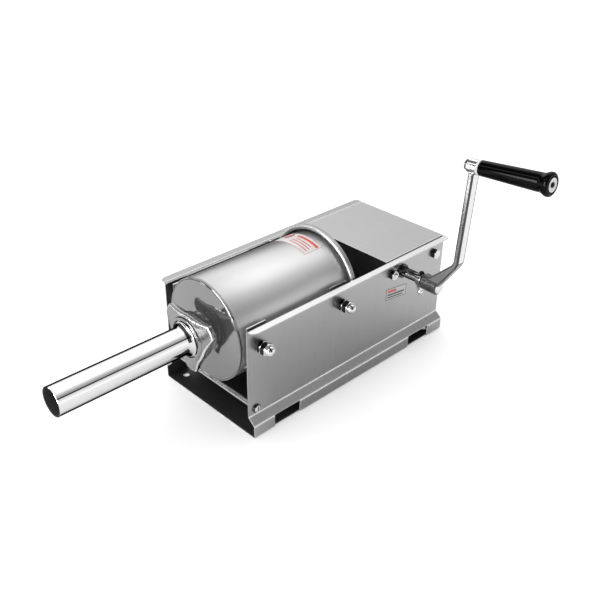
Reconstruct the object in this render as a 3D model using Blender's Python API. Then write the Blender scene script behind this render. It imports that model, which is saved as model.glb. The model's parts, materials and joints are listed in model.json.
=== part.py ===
"""Horizontal sausage stuffer: a hand-cranked rack drives a piston along a barrel in an open steel chassis.

The chassis runs along X with the nozzle towards -X, the crank is on the -Y side, and the floor is z = 0.
The origin is the middle of the chassis floor's underside. Lengths below are in millimetres; mm() turns them
into metres."""

import math

import bmesh
import bpy
from mathutils import Vector

# Chassis: one bent sheet.
CHASSIS_LENGTH = 380.0
SHEET = 1.5
PANEL_Y = 81.4                       # outside of the side panels
PANEL_TOP = 156.3
SKIRT_Y = 92.4                       # outside of the skirts, and the flanges' outer edges
SKIRT_TOP = 18.5
FLARE_TOP = 27.7
FLANGE_CORNER = 8.0
GAP = 0.3                            # between any two pieces that touch

# Barrel and nozzle, both on one axis along X.
AXIS_Z = 120.8
BARREL_R = 70.0
BARREL_WALL = 1.2
BARREL_FRONT = -190.8
BARREL_REAR = 9.2
RIM_R = 79.3
NECK_R = 27.0
NECK_BORE = 19.0
NOZZLE_R = 18.8
NOZZLE_WALL = 1.2
NOZZLE_TIP = -405.2
NUT_FRONT = -221.5
NUT_BACK = -203.0
NUT_FACE = -219.0  # the lobes' front slopes back from here, just outside the hub
NUT_LOBE_BACK = -208.2
NUT_TIP_R = 50.0
NUT_WAIST_R = 30.5

# Saddles that carry the barrel, two a side, each on one stud.
STUD_X = (-167.0, -24.0)
STUD_Z = 126.0
STUD_R = 5.0
STUD_NUT = 16.0  # across flats
JAM_NUT = 5.0
ACORN_HEX = 7.6
ACORN_DOME = 7.3
ACORN_HEIGHT = 16.5
SADDLE_SHIFT = (-1.0, -2.6)  # the middle of each saddle from its stud
SADDLE_LENGTH = 30.0
SADDLE_TOP = 153.5
SADDLE_JOGGLE = 135.0  # where the upper leg leaves the panel
SADDLE_Y = 73.0

# Tie rod across the front of the chassis.
TIE_X, TIE_Z, TIE_R = -177.0, 36.0, 4.0

# Inside the chassis: the outside of a piece that lies against a side panel.
INSIDE_Y = PANEL_Y - SHEET - GAP

# Gear space at the rear.
COVER_FRONT = 62.9
BOLT_X = (77.0, 170.5)
BOLT_Z = 133.0
CRANK_X, CRANK_Z = 98.4, 131.0
PLATE_IN, PLATE_OUT = 12.0, 17.0     # the two gear plates, either side of the rack
SHAFT_R = 7.0
RACK_SLOT = ((-10.5, 10.5), (104.5, 127.0))

# Gear train: all module 2, with stub teeth that a 14-tooth pinion can run on a rack without undercut.
MODULE = 2.0
ADDENDUM = 0.8 * MODULE
DEDENDUM = 1.05 * MODULE
PRESSURE_ANGLE = math.radians(20)
THINNING = 0.16                      # taken off each flank, which leaves the backlash
PINION_TEETH = 14
GEAR_TEETH = 36
PINION_R = PINION_TEETH * MODULE / 2
GEAR_R = GEAR_TEETH * MODULE / 2
PITCH = math.pi * MODULE
RACK_TOP = 124.0
RACK_PITCH_LINE = 109.5
LAYSHAFT_Z = RACK_PITCH_LINE - PINION_R
LAYSHAFT_X = CRANK_X + math.sqrt((PINION_R + GEAR_R) ** 2 - (CRANK_Z - LAYSHAFT_Z) ** 2)

# Piston: it is driven back 136.8 mm and forward 68.4 mm from here.
PISTON_FRONT = -113.1
PISTON_THICK = 12.0
PISTON_R = 67.6
RACK_END = PISTON_FRONT + 328.0
VALVE_Z = 45.0                       # air valve above the piston's centre

# Crank.
ARM_WIDTH = 15.0
BOSS_R = 11.5
BOSS_IN, BOSS_OUT = -121.0, -146.4
EYE_Y, EYE_Z = -177.0, 314.5
GRIP_TILT = math.radians(4.6)
GRIP_LENGTH = 96.0


def mm(*values):
    return tuple(v / 1000 for v in values)


def material(name, colour, roughness, metallic):
    made = bpy.data.materials.new(name)
    made.use_nodes = True
    shader = made.node_tree.nodes["Principled BSDF"]
    shader.inputs["Base Color"].default_value = (*colour, 1.0)
    shader.inputs["Roughness"].default_value = roughness
    shader.inputs["Metallic"].default_value = metallic
    return made


for old in list(bpy.context.scene.objects):
    bpy.data.objects.remove(old, do_unlink=True)

STEEL = material("brushed_stainless", (0.62, 0.62, 0.61), 0.32, 1.0)
POLISHED = material("polished_stainless", (0.72, 0.72, 0.72), 0.12, 1.0)
CHROME = material("chrome", (0.80, 0.80, 0.81), 0.05, 1.0)
CAST = material("cast_metal", (0.42, 0.42, 0.42), 0.38, 1.0)
GEAR_STEEL = material("gear_steel", (0.36, 0.36, 0.37), 0.35, 1.0)
BRONZE = material("bronze", (0.62, 0.42, 0.20), 0.35, 1.0)
BLACK = material("black_plastic", (0.012, 0.012, 0.013), 0.12, 0.0)
WHITE = material("white_plastic", (0.85, 0.85, 0.83), 0.35, 0.0)
RUBBER = material("food_rubber", (0.80, 0.79, 0.74), 0.55, 0.0)


def empty(name, location, rotation=(0, 0, 0), parent=None):
    made = bpy.data.objects.new(name, None)
    made.location = mm(*location)
    made.rotation_euler = rotation
    made.parent = parent
    bpy.context.collection.objects.link(made)
    return made


def add(name, bm, mat=None, parent=None, smooth_under=None):
    """A mesh object from bm. With smooth_under, edges flatter than that many degrees are shaded smooth."""
    bmesh.ops.remove_doubles(bm, verts=bm.verts, dist=1e-6)
    bmesh.ops.recalc_face_normals(bm, faces=bm.faces)
    mesh = bpy.data.meshes.new(name)
    bm.to_mesh(mesh)
    bm.free()
    if smooth_under:
        mesh.shade_smooth()
        mesh.set_sharp_from_angle(angle=math.radians(smooth_under))
    made = bpy.data.objects.new(name, mesh)
    if mat:
        mesh.materials.append(mat)
    made.parent = parent
    bpy.context.collection.objects.link(made)
    return made


def turned_bm(profile, axis, segments, centre=(0, 0, 0), bm=None, closed=False):
    """A profile of (distance along the axis, radius) points spun about the axis through centre. closed joins
    its ends, for a ring; otherwise the profile starts and ends on the axis."""
    bm = bm or bmesh.new()
    along = Vector((1, 0, 0)) if axis == "X" else Vector((0, 1, 0)) if axis == "Y" else Vector((0, 0, 1))
    out = Vector((0, 0, 1)) if axis != "Z" else Vector((1, 0, 0))
    at = Vector(mm(*centre))
    verts = [bm.verts.new(at + along * (s / 1000) + out * (r / 1000)) for s, r in profile]
    edges = [bm.edges.new(pair) for pair in zip(verts, verts[1:])]
    if closed:
        edges.append(bm.edges.new((verts[-1], verts[0])))
    geom = verts + edges
    bmesh.ops.spin(bm, geom=geom, cent=at, axis=along, angle=math.tau, steps=segments, use_merge=True)
    return bm


def turned(name, profile, axis, segments, mat, centre=(0, 0, 0), parent=None, closed=False):
    bm = turned_bm(profile, axis, segments, centre, closed=closed)
    return add(name, bm, mat, parent, smooth_under=35)


def tube_profile(start, end, inner, outer):
    return [(start, inner), (start, outer), (end, outer), (end, inner)]


def rod_profile(start, end, radius):
    return [(start, 0), (start, radius), (end, radius), (end, 0)]


def prism_bm(outline, axis, low, high, bm=None, centre=(0, 0, 0)):
    """A flat outline extruded along the axis from low to high. Its points are (y, z), (x, z) or (x, y)."""
    bm = bm or bmesh.new()
    place = {
        "X": lambda u, v, s: (s, u, v),
        "Y": lambda u, v, s: (u, s, v),
        "Z": lambda u, v, s: (u, v, s),
    }[axis]
    at = Vector(mm(*centre))
    face = bm.faces.new([bm.verts.new(at + Vector(mm(*place(u, v, low)))) for u, v in outline])
    moved = bmesh.ops.extrude_face_region(bm, geom=[face])["geom"]
    step = Vector(mm(*place(0, 0, high - low)))
    bmesh.ops.translate(bm, verts=[v for v in moved if isinstance(v, bmesh.types.BMVert)], vec=step)
    return bm


def box_bm(xs, ys, zs, bm=None):
    return prism_bm([(xs[0], ys[0]), (xs[1], ys[0]), (xs[1], ys[1]), (xs[0], ys[1])], "Z", zs[0], zs[1], bm)


def combine(target, other, operation):
    """A Boolean on target by an object that isn't itself part of the model."""
    other.hide_render = True
    other.display_type = "WIRE"
    step = target.modifiers.new(other.name, "BOOLEAN")
    step.operation = operation
    step.object = other
    step.solver = "EXACT"
    return target


def cut(target, bm, name, parent=None):
    return combine(target, add(name, bm, parent=parent), "DIFFERENCE")


def fuse(target, bm, name, parent=None):
    return combine(target, add(name, bm, parent=parent), "UNION")


def bevel(target, width, segments=1, angle=40):
    step = target.modifiers.new("edges", "BEVEL")
    step.width = width / 1000
    step.segments = segments
    step.limit_method = "ANGLE"
    step.angle_limit = math.radians(angle)
    return target


def circle(radius, count, cx=0.0, cz=0.0, turn=0.0):
    angles = [turn + math.tau * i / count for i in range(count)]
    return [(cx + radius * math.cos(a), cz + radius * math.sin(a)) for a in angles]


def hexagon(across_flats, cx=0.0, cz=0.0, turn=0.0):
    return circle(across_flats / math.sqrt(3), 6, cx, cz, turn)


def hex_nut(name, across_flats, axis, low, high, bore_r, centre=(0, 0), turn=0.0, parent=None, mat=None):
    """centre is the nut's place in the plane across its axis."""
    body = prism_bm(hexagon(across_flats, *centre, math.radians(turn)), axis, low, high)
    nut = bevel(add(name, body, mat or CHROME, parent), 0.5)
    return cut(nut, prism_bm(circle(bore_r, 12, *centre), axis, low - 2, high + 2), name + "_bore", parent)


def rounded(corners, radius, steps=3):
    """An open path of (y, z) corners with each inner corner replaced by an arc."""
    path = [Vector(corners[0])]
    for before, corner, after in zip(corners, corners[1:], corners[2:]):
        corner = Vector(corner)
        to_before = (Vector(before) - corner).normalized()
        to_after = (Vector(after) - corner).normalized()
        half = to_before.angle(to_after) / 2
        centre = corner + (to_before + to_after).normalized() * (radius / math.sin(half))
        start = corner + to_before * (radius / math.tan(half)) - centre
        end = corner + to_after * (radius / math.tan(half)) - centre
        for i in range(steps + 1):
            blend = start.lerp(end, i / steps).normalized() * radius
            path.append(centre + blend)
    path.append(Vector(corners[-1]))
    return path


def bent_sheet(name, path, low, high, thickness, offset, mat):
    """A sheet that follows a (y, z) path, extruded along X and thickened. offset picks the side."""
    bm = bmesh.new()
    verts = [bm.verts.new(mm(low, p[0], p[1])) for p in path]
    edges = [bm.edges.new(pair) for pair in zip(verts, verts[1:])]
    moved = bmesh.ops.extrude_edge_only(bm, edges=edges)["geom"]
    ends = [v for v in moved if isinstance(v, bmesh.types.BMVert)]
    bmesh.ops.translate(bm, verts=ends, vec=mm(high - low, 0, 0))
    made = add(name, bm, mat, smooth_under=35)
    solid = made.modifiers.new("thickness", "SOLIDIFY")
    solid.thickness = thickness / 1000
    solid.offset = offset
    solid.use_even_offset = True
    return made


# --- Chassis --------------------------------------------------------------------------------------

def chassis():
    half = [
        (-SKIRT_Y, PANEL_TOP - SHEET),
        (-PANEL_Y, PANEL_TOP - SHEET),
        (-PANEL_Y, FLARE_TOP),
        (-SKIRT_Y, SKIRT_TOP),
        (-SKIRT_Y, 0.0),
    ]
    corners = half + [(-y, z) for y, z in reversed(half)]
    end = CHASSIS_LENGTH / 2
    body = bent_sheet("chassis", rounded(corners, 2.2), -end, end, SHEET, 1.0, STEEL)

    # Flange ends rounded in plan.
    r = FLANGE_CORNER
    corner = [(r, -1), (-1, -1), (-1, r)] + [
        (r - r * math.cos(a), r - r * math.sin(a)) for a in (math.radians(15 * i) for i in range(7))
    ]
    bm = bmesh.new()
    for sx in (-1, 1):
        for sy in (-1, 1):
            outline = [(sx * (end - u), sy * (SKIRT_Y - v)) for u, v in corner]
            prism_bm(outline, "Z", PANEL_TOP - 4, PANEL_TOP + 4, bm)
    cut(body, bm, "flange_corner_cutter")

    # Notches through both skirts, for reaching the four mounting holes in the floor.
    bm = bmesh.new()
    for low, high in ((-155.2, -110.2), (112.0, 157.0)):
        for side in (-1, 1):
            ys = sorted((side * (SKIRT_Y - 3.0), side * (SKIRT_Y + 3)))
            box_bm((low, high), ys, (-3, SKIRT_TOP + 0.4), bm)
    cut(body, bm, "notch_cutter")

    bm = bmesh.new()
    for x in (-170.3, 170.3):
        for y in (-75.4, 75.4):
            prism_bm(circle(4.5, 16, x, y), "Z", -3, 5, bm)
    cut(body, bm, "floor_hole_cutter")

    # Holes through both side panels: saddle studs, tie rod screws and gear bolts. The crank's is on one side.
    holes = [(x, STUD_Z, STUD_R + 0.4) for x in STUD_X]
    holes += [(x, BOLT_Z, 4.4) for x in BOLT_X]
    holes += [(TIE_X, TIE_Z, 2.9)]
    bm = bmesh.new()
    for side in (-1, 1):
        for x, z, r in holes:
            prism_bm(circle(r, 12, x, z), "Y", side * PANEL_Y - 3, side * PANEL_Y + 3, bm)
    prism_bm(circle(9.4, 20, CRANK_X, CRANK_Z), "Y", -PANEL_Y - 3, -PANEL_Y + 3, bm)
    return cut(body, bm, "panel_hole_cutter")


def tie_rod():
    end = INSIDE_Y
    turned(
        "tie_rod",
        [(12 - end, 0), (12 - end, 2.8), (-end, 2.8), (-end, TIE_R), (end, TIE_R), (end, 2.8),
         (end - 12, 2.8), (end - 12, 0)],
        "Y", 12, STEEL, (TIE_X, 0, TIE_Z),
    )
    for name, side in (("tie_screw_near", -1), ("tie_screw_far", 1)):
        face = side * (PANEL_Y + GAP)
        dome = [(face + side * 3.6 * math.sin(a), 6.2 * math.cos(a)) for a in (0.0, 0.45, 0.9, 1.25)]
        profile = [(side * (end - 11), 0), (side * (end - 11), 2.5), (face, 2.5)] + dome
        profile.append((face + side * 3.6, 0))
        screw = turned(name, profile, "Y", 12, STEEL, (TIE_X, 0, TIE_Z))
        ys = sorted((face + side * 2.2, face + side * 6))
        bm = box_bm((TIE_X - 5, TIE_X + 5), ys, (TIE_Z - 0.7, TIE_Z + 0.7))
        cut(screw, bm, name + "_slot_cutter")


# --- Saddles --------------------------------------------------------------------------------------

def saddles():
    """Bent sheet brackets on the side panels: a lower lip carries the barrel, an upper leg guards its side."""
    back = INSIDE_Y - 1.0
    touch = math.radians(24)
    lip_y = (BARREL_R + 1.4) * math.cos(touch)
    lip_z = AXIS_Z - (BARREL_R + 1.4) * math.sin(touch)
    for end, x, shift in zip(("front", "rear"), STUD_X, SADDLE_SHIFT):
        for where, side in (("near", -1), ("far", 1)):
            corners = [
                (lip_y, lip_z),
                (back, lip_z + back - lip_y),
                (back, SADDLE_JOGGLE),
                (SADDLE_Y, SADDLE_JOGGLE + back - SADDLE_Y),
                (SADDLE_Y, SADDLE_TOP),
            ]
            path = [(side * y, z) for y, z in rounded(corners, 2.5)]
            low, high = x + shift - SADDLE_LENGTH / 2, x + shift + SADDLE_LENGTH / 2
            name = f"saddle_{end}_{where}"
            body = bent_sheet(name, path, low, high, 2.0, 0.0, STEEL)
            stud = sorted((side * (back - 0.4), side * (PANEL_Y + 16.6)))
            fuse(body, prism_bm(circle(STUD_R, 12, x, STUD_Z), "Y", *stud), name + "_stud")
            stud_nuts(f"{end}_{where}", side, x)


def stud_nuts(where, side, x):
    """A thin jam nut against the panel, and a domed acorn nut over the stud's end."""
    low, high = PANEL_Y + GAP, PANEL_Y + GAP + JAM_NUT
    ys = sorted((side * low, side * high))
    hex_nut(f"jam_nut_{where}", STUD_NUT, "Y", *ys, STUD_R + 0.3, (x, STUD_Z), 12)

    low = high + GAP
    ys = sorted((side * low, side * (low + ACORN_HEX)))
    bm = prism_bm(hexagon(STUD_NUT, x, STUD_Z, math.radians(40)), "Y", *ys)
    acorn = bevel(add(f"acorn_nut_{where}", bm, CHROME), 0.5)
    start = side * (low + 3)
    base = side * (low + ACORN_HEIGHT - ACORN_DOME)
    top = base + side * ACORN_DOME
    dome = [(base + side * ACORN_DOME * math.sin(a), ACORN_DOME * math.cos(a)) for a in (0.0, 0.5, 1.0, 1.3)]
    bm = turned_bm([(start, 0), (start, ACORN_DOME)] + dome + [(top, 0)], "Y", 12, (x, 0, STUD_Z))
    fuse(acorn, bm, f"acorn_nut_{where}_dome")
    ys = sorted((side * (low - 2), side * (low + 12)))
    bm = prism_bm(circle(STUD_R + 0.3, 12, x, STUD_Z), "Y", *ys)
    cut(acorn, bm, f"acorn_nut_{where}_bore")


# --- Barrel ---------------------------------------------------------------------------------------

def barrel():
    axis = (0, 0, AXIS_Z)
    inner = BARREL_R - BARREL_WALL
    back = BARREL_FRONT + 3.0
    tube = tube_profile(back + GAP, BARREL_REAR, inner, BARREL_R)
    turned("barrel_tube", tube, "X", 48, POLISHED, axis, closed=True)
    plate = [(back, NECK_BORE), (back, BARREL_R), (BARREL_FRONT + 1.2, BARREL_R),
             (BARREL_FRONT, BARREL_R - 1.2), (BARREL_FRONT, NECK_R + 1.5), (BARREL_FRONT - 1.5, NECK_R),
             (-212.2, NECK_R), (-213.0, NECK_R - 0.8),
             (-213.0, NECK_BORE)]
    turned("barrel_front", plate, "X", 36, POLISHED, axis, closed=True)
    rim = [(5.6, BARREL_R + GAP), (5.6, 75.0), (1.6, 75.0), (0.7, 76.2), (0.7, 78.0), (2.0, RIM_R),
           (7.6, RIM_R), (9.5, 77.6), (9.5, BARREL_R + GAP)]
    turned("barrel_rim", rim, "X", 40, STEEL, axis, closed=True)


# --- Gear cover, rear panel and gear plates -------------------------------------------------------

def gear_cover():
    end = CHASSIS_LENGTH / 2 - 0.5
    y = INSIDE_Y
    bm = box_bm((COVER_FRONT, end), (-y, y), (2.0, PANEL_TOP))
    cover = add("gear_cover", bm, STEEL)
    inner = y - SHEET
    bm = box_bm((COVER_FRONT + SHEET, end + 5), (-inner, inner), (-2, PANEL_TOP - SHEET))
    cut(cover, bm, "cover_inside_cutter")
    bm = box_bm((COVER_FRONT + SHEET, end + 5), (-y - 5, -inner + 1), (-2, 112))
    box_bm((COVER_FRONT + SHEET, end + 5), (inner - 1, y + 5), (-2, 112), bm)
    cut(cover, bm, "cover_side_cutter")
    bm = box_bm((COVER_FRONT - 5, COVER_FRONT + 5), *RACK_SLOT)
    for x in BOLT_X:
        prism_bm(circle(4.4, 12, x, BOLT_Z), "Y", -y - 4, y + 4, bm)
    prism_bm(circle(9.4, 20, CRANK_X, CRANK_Z), "Y", -y - 4, -y + 4, bm)
    cut(cover, bm, "cover_hole_cutter")


def rear_panel():
    end = CHASSIS_LENGTH / 2 - 0.5
    y = INSIDE_Y - SHEET - GAP
    bm = box_bm((end - 12, end), (-y, y), (SHEET + GAP, PANEL_TOP - SHEET - GAP))
    panel = add("rear_panel", bm, STEEL)
    inner = y - SHEET
    bm = box_bm((end - 20, end - SHEET), (-inner, inner), (SHEET + GAP + SHEET, PANEL_TOP + 5))
    cut(panel, bm, "rear_inside_cutter")
    cut(panel, box_bm((end - 10, end + 5), *RACK_SLOT), "rear_slot_cutter")


def gear_plates():
    outline = [(68, SHEET + GAP), (170, SHEET + GAP), (184, 20), (184, 130), (176, 146), (68, 146)]
    sides = (("gear_plate_near", -PLATE_OUT, -PLATE_IN), ("gear_plate_far", PLATE_IN, PLATE_OUT))
    for name, low, high in sides:
        holes = [(x, BOLT_Z, 4.4) for x in BOLT_X]
        holes += [(LAYSHAFT_X, LAYSHAFT_Z, 9.8)]
        if low < 0:
            holes += [(CRANK_X, CRANK_Z, 9.8)]
        plate = add(name, prism_bm(outline, "Y", low, high), STEEL)
        bm = bmesh.new()
        for x, z, r in holes:
            prism_bm(circle(r, 16, x, z), "Y", low - 3, high + 3, bm)
        cut(plate, bm, name + "_hole_cutter")


def gear_bolts():
    near = -PANEL_Y - GAP
    for end, x in zip(("front", "rear"), BOLT_X):
        bm = prism_bm(hexagon(13, x, BOLT_Z, math.radians(20)), "Y", near - 5.3, near)
        bolt = bevel(add(f"gear_bolt_{end}", bm, CHROME), 0.7, 2)
        fuse(bolt, prism_bm(circle(4.0, 12, x, BOLT_Z), "Y", near - 1, 90.0), f"gear_bolt_{end}_shank")
        hex_nut(f"gear_nut_{end}", 13, "Y", PANEL_Y + GAP, PANEL_Y + GAP + 6.5, 4.35, (x, BOLT_Z), 20)
        inner = INSIDE_Y - SHEET - GAP
        spans = {"near": (-inner, -PLATE_OUT - GAP), "far": (PLATE_OUT + GAP, inner)}
        for where, (low, high) in spans.items():
            profile = tube_profile(low, high, 4.35, 5.4)
            turned(f"spacer_{end}_{where}", profile, "Y", 12, STEEL, (x, 0, BOLT_Z), closed=True)


# --- Bushes, shafts and gears ---------------------------------------------------------------------

def flanged_bush(name, x, z, flange_from, flange_to, sleeve_to, flange_r, sleeve_r, mat):
    bore = SHAFT_R + GAP
    profile = [(flange_from, bore), (flange_from, flange_r), (flange_to, flange_r), (flange_to, sleeve_r),
               (sleeve_to, sleeve_r), (sleeve_to, bore)]
    turned(name, profile, "Y", 16, mat, (x, 0, z), closed=True)


def tooth_flank(teeth, radii):
    """The half thickness angle of an involute tooth at each radius."""
    pitch_r = teeth * MODULE / 2
    base_r = pitch_r * math.cos(PRESSURE_ANGLE)
    at_pitch = math.pi / (2 * teeth) - THINNING / pitch_r

    def involute(angle):
        return math.tan(angle) - angle

    found = []
    for r in radii:
        angle = math.acos(min(1.0, base_r / r))
        found.append((r, at_pitch + involute(PRESSURE_ANGLE) - involute(angle)))
    return found


def gear_outline(teeth, phase):
    """The gear's outline, with the middle of a tooth at the angle phase."""
    pitch_r = teeth * MODULE / 2
    base_r = pitch_r * math.cos(PRESSURE_ANGLE)
    tip_r = pitch_r + ADDENDUM
    root_r = pitch_r - DEDENDUM
    start_r = max(root_r, base_r)
    flank = tooth_flank(teeth, [start_r, (start_r + tip_r) / 2, tip_r])
    flank = [(root_r, flank[0][1] + 0.01)] + [p for p in flank if p[0] > root_r + 0.05]
    outline = []
    for i in range(teeth):
        middle = phase + math.tau * i / teeth
        outline += [(r * math.cos(middle - a), r * math.sin(middle - a)) for r, a in flank]
        outline += [(r * math.cos(middle + a), r * math.sin(middle + a)) for r, a in reversed(flank)]
    return outline


def gear(name, teeth, phase, low, high, parent):
    made = add(name, prism_bm(gear_outline(teeth, phase), "Y", low, high), GEAR_STEEL, parent)
    cut(made, prism_bm(circle(SHAFT_R + GAP, 20), "Y", low - 2, high + 2), name + "_bore", parent)
    return made


def gear_train():
    crank_axis = empty("crank_axis", (CRANK_X, 0, CRANK_Z))
    layshaft_axis = empty("layshaft_axis", (LAYSHAFT_X, 0, LAYSHAFT_Z))
    face = -PANEL_Y - GAP
    flanged_bush("crank_bush", CRANK_X, CRANK_Z, face - 2, face, -70.0, 10.5, 9.0, GEAR_STEEL)
    face = PLATE_OUT + GAP
    flanged_bush("crank_bush_inner", CRANK_X, CRANK_Z, -face - 2, -face, -PLATE_IN, 11.5, 9.4, BRONZE)
    flanged_bush("layshaft_bush_near", LAYSHAFT_X, LAYSHAFT_Z, -face - 2, -face, -PLATE_IN, 11.5, 9.4, BRONZE)
    flanged_bush("layshaft_bush_far", LAYSHAFT_X, LAYSHAFT_Z, face + 2, face, PLATE_IN, 11.5, 9.4, BRONZE)

    shaft = [(-137.7, 0), (-137.7, SHAFT_R - 0.8), (-136.9, SHAFT_R), (-PLATE_IN, SHAFT_R), (-PLATE_IN, 0)]
    turned("crank_shaft", shaft, "Y", 20, CHROME, parent=crank_axis)
    turned("layshaft", rod_profile(-50.0, 24.0, SHAFT_R), "Y", 20, GEAR_STEEL, parent=layshaft_axis)

    # The pinion has a tooth on the line of centres and the gear has a gap there.
    to_layshaft = math.atan2(LAYSHAFT_Z - CRANK_Z, LAYSHAFT_X - CRANK_X)
    gear("drive_pinion", PINION_TEETH, to_layshaft, -46.0, -34.0, crank_axis)
    gear("main_gear", GEAR_TEETH, to_layshaft + math.pi + math.pi / GEAR_TEETH, -45.0, -35.0, layshaft_axis)
    gear("rack_pinion", PINION_TEETH, math.pi / 2, -9.0, 9.0, layshaft_axis)

    # The guide keeps the rack down on its pinion, and spaces the gear plates: both gear bolts run through it.
    guide = [(-11.7, 112.6), (-8.3, 112.6), (-8.3, RACK_TOP + GAP), (8.3, RACK_TOP + GAP), (8.3, 112.6),
             (11.7, 112.6), (11.7, 140.0), (-11.7, 140.0)]
    block = add("rack_guide", prism_bm(guide, "X", BOLT_X[0] - 7, BOLT_X[1] + 7), WHITE)
    bm = bmesh.new()
    for x in BOLT_X:
        prism_bm(circle(4.35, 12, x, BOLT_Z), "Y", -15, 15, bm)
    cut(block, bm, "rack_guide_bore")


# --- Rack and piston ------------------------------------------------------------------------------

def rack_outline(start):
    """Side view of the bar: straight flanks at the pressure angle, a gap centred over the pinion's axis."""
    half = PITCH / 4 - THINNING
    slope = math.tan(PRESSURE_ANGLE)
    root = RACK_PITCH_LINE + DEDENDUM
    tip = RACK_PITCH_LINE - ADDENDUM
    outline = [(RACK_END, RACK_TOP), (start, RACK_TOP), (start, root)]
    first = math.floor((PISTON_FRONT + 98 - LAYSHAFT_X) / PITCH) + 0.5
    count = int((RACK_END - 4 - (LAYSHAFT_X + first * PITCH)) / PITCH) + 1
    for i in range(count):
        middle = LAYSHAFT_X + (first + i) * PITCH
        wide, narrow = half + DEDENDUM * slope, half - ADDENDUM * slope
        outline += [(middle - wide, root), (middle - narrow, tip)]
        outline += [(middle + narrow, tip), (middle + wide, root)]
    outline.append((RACK_END, root))
    return outline


def piston():
    axis = empty("piston_axis", (0, 0, AXIS_Z))
    back = PISTON_FRONT + PISTON_THICK
    flange = back + GAP
    groove = (PISTON_FRONT + 3.5, PISTON_FRONT + 8.5)
    outline = [(x, z - AXIS_Z) for x, z in rack_outline(flange + 5)]
    rack = add("rack", prism_bm(outline, "Y", -8, 8), GEAR_STEEL, axis)
    fuse(rack, turned_bm(rod_profile(flange, flange + 6, 24.0), "X", 32), "rack_flange", axis)
    cut(rack, prism_bm(circle(5.3, 16), "X", flange - 3, flange + 5.4), "rack_flange_bore", axis)

    disc = [(back, 0), (back, PISTON_R - 1), (back - 1, PISTON_R), (groove[1], PISTON_R),
            (groove[1], 64.0), (groove[0], 64.0), (groove[0], PISTON_R), (PISTON_FRONT + 1.5, PISTON_R),
            (PISTON_FRONT, PISTON_R - 1.5), (PISTON_FRONT, 0)]
    body = turned("piston_disc", disc, "X", 36, POLISHED, parent=axis)
    bm = prism_bm(circle(5.3, 16), "X", PISTON_FRONT - 3, back + 3)
    prism_bm(circle(3.4, 12, 0, VALVE_Z), "X", PISTON_FRONT - 3, back + 3, bm)
    cut(body, bm, "piston_hole_cutter", axis)
    lip = [(groove[0] + GAP, 64.3), (groove[0] + GAP, PISTON_R + 0.5), (PISTON_FRONT + 6, PISTON_R + 0.8),
           (groove[1] - GAP, PISTON_R + 0.5), (groove[1] - GAP, 64.3)]
    turned("piston_seal", lip, "X", 36, RUBBER, parent=axis, closed=True)
    bm = prism_bm(hexagon(17), "X", PISTON_FRONT - GAP - 5.0, PISTON_FRONT - GAP)
    bolt = bevel(add("piston_bolt", bm, STEEL, axis), 0.7)
    fuse(bolt, prism_bm(circle(5.0, 16), "X", PISTON_FRONT - 1, flange + 5), "piston_bolt_shank", axis)

    # Air valve: the piston's face pushes it open against its spring when trapped air must leave.
    valve_axis = empty("valve_axis", (0, 0, VALVE_Z), parent=axis)
    head = PISTON_FRONT - GAP
    stem = [(head - 1.8, 0), (head - 1.8, 5.8), (head - 1.2, 6.6), (head, 6.6), (head, 3.0), (back + 9, 3.0),
            (back + 9, 0)]
    turned("air_valve", stem, "X", 16, STEEL, parent=valve_axis)
    turned("air_valve_nut", tube_profile(back + 6.0, back + 8.6, 3.3, 6.4), "X", 12, STEEL, parent=valve_axis,
           closed=True)


# --- Nozzle and ring nut --------------------------------------------------------------------------

def nozzle():
    axis = empty("nozzle_axis", (0, 0, AXIS_Z))
    inner = NOZZLE_R - NOZZLE_WALL
    turn = [math.radians(30 * i) for i in range(4)]
    flare = [(-231 + 9.2 * math.sin(a), NOZZLE_R + 5.4 * (1 - math.cos(a))) for a in turn]
    profile = [(NOZZLE_TIP, inner), (NOZZLE_TIP, NOZZLE_R - 0.3), (NOZZLE_TIP + 0.5, NOZZLE_R)] + flare
    profile += [(-218.7, 24.2), (-218.7, 26.6), (-215.6, 26.6), (-215.6, inner)]
    turned("nozzle", profile, "X", 32, CHROME, parent=axis, closed=True)
    ring = tube_profile(-215.3, -213.3, NECK_BORE, 26.0)
    turned("nozzle_gasket", ring, "X", 28, RUBBER, parent=axis, closed=True)


def ring_nut():
    """Three lobes a third of a turn apart. Each has a rounded tip, and concave sides down to the waist."""
    axis = empty("nut_axis", (0, 0, AXIS_Z))
    outline = []
    for lobe in range(3):
        middle = math.radians(30 + 120 * lobe)
        side = [(NUT_WAIST_R, 60), (31.4, 46), (35.2, 33), (42.0, 22), (48.0, 13.5), (NUT_TIP_R, 8.5)]
        points = [(r, -math.radians(d)) for r, d in side] + [(NUT_TIP_R + 0.6, 0.0)]
        points += [(r, math.radians(d)) for r, d in reversed(side[1:])]
        outline += [(-r * math.cos(middle + a), r * math.sin(middle + a)) for r, a in points]
    bm = prism_bm(outline, "X", NUT_FACE, NUT_LOBE_BACK)
    nut = bevel(add("ring_nut", bm, CAST, axis, smooth_under=50), 1.2, 1, 60)
    cone = [(NUT_FRONT - 3, 29.4), (NUT_FACE, 29.4), (NUT_FACE + 5.4, 54.0), (NUT_FRONT - 3, 54.0)]
    cut(nut, turned_bm(cone, "X", 36, closed=True), "ring_nut_cone", axis)
    hub = [(NUT_BACK, 0), (NUT_BACK, 31.5), (NUT_FACE + 1, 31.5), (NUT_FACE, 30.0), (NUT_FACE, 29.5),
           (NUT_FRONT, 29.0), (NUT_FRONT, 0)]
    fuse(nut, turned_bm(hub, "X", 28), "ring_nut_hub", axis)
    bore = [(NUT_BACK + 3, 0), (NUT_BACK + 3, NECK_R + 0.5), (-219.0, NECK_R + 0.5), (-219.0, 24.9),
            (NUT_FRONT - 3, 24.9), (NUT_FRONT - 3, 0)]
    cut(nut, turned_bm(bore, "X", 28), "ring_nut_bore", axis)


# --- Crank ----------------------------------------------------------------------------------------

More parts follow.
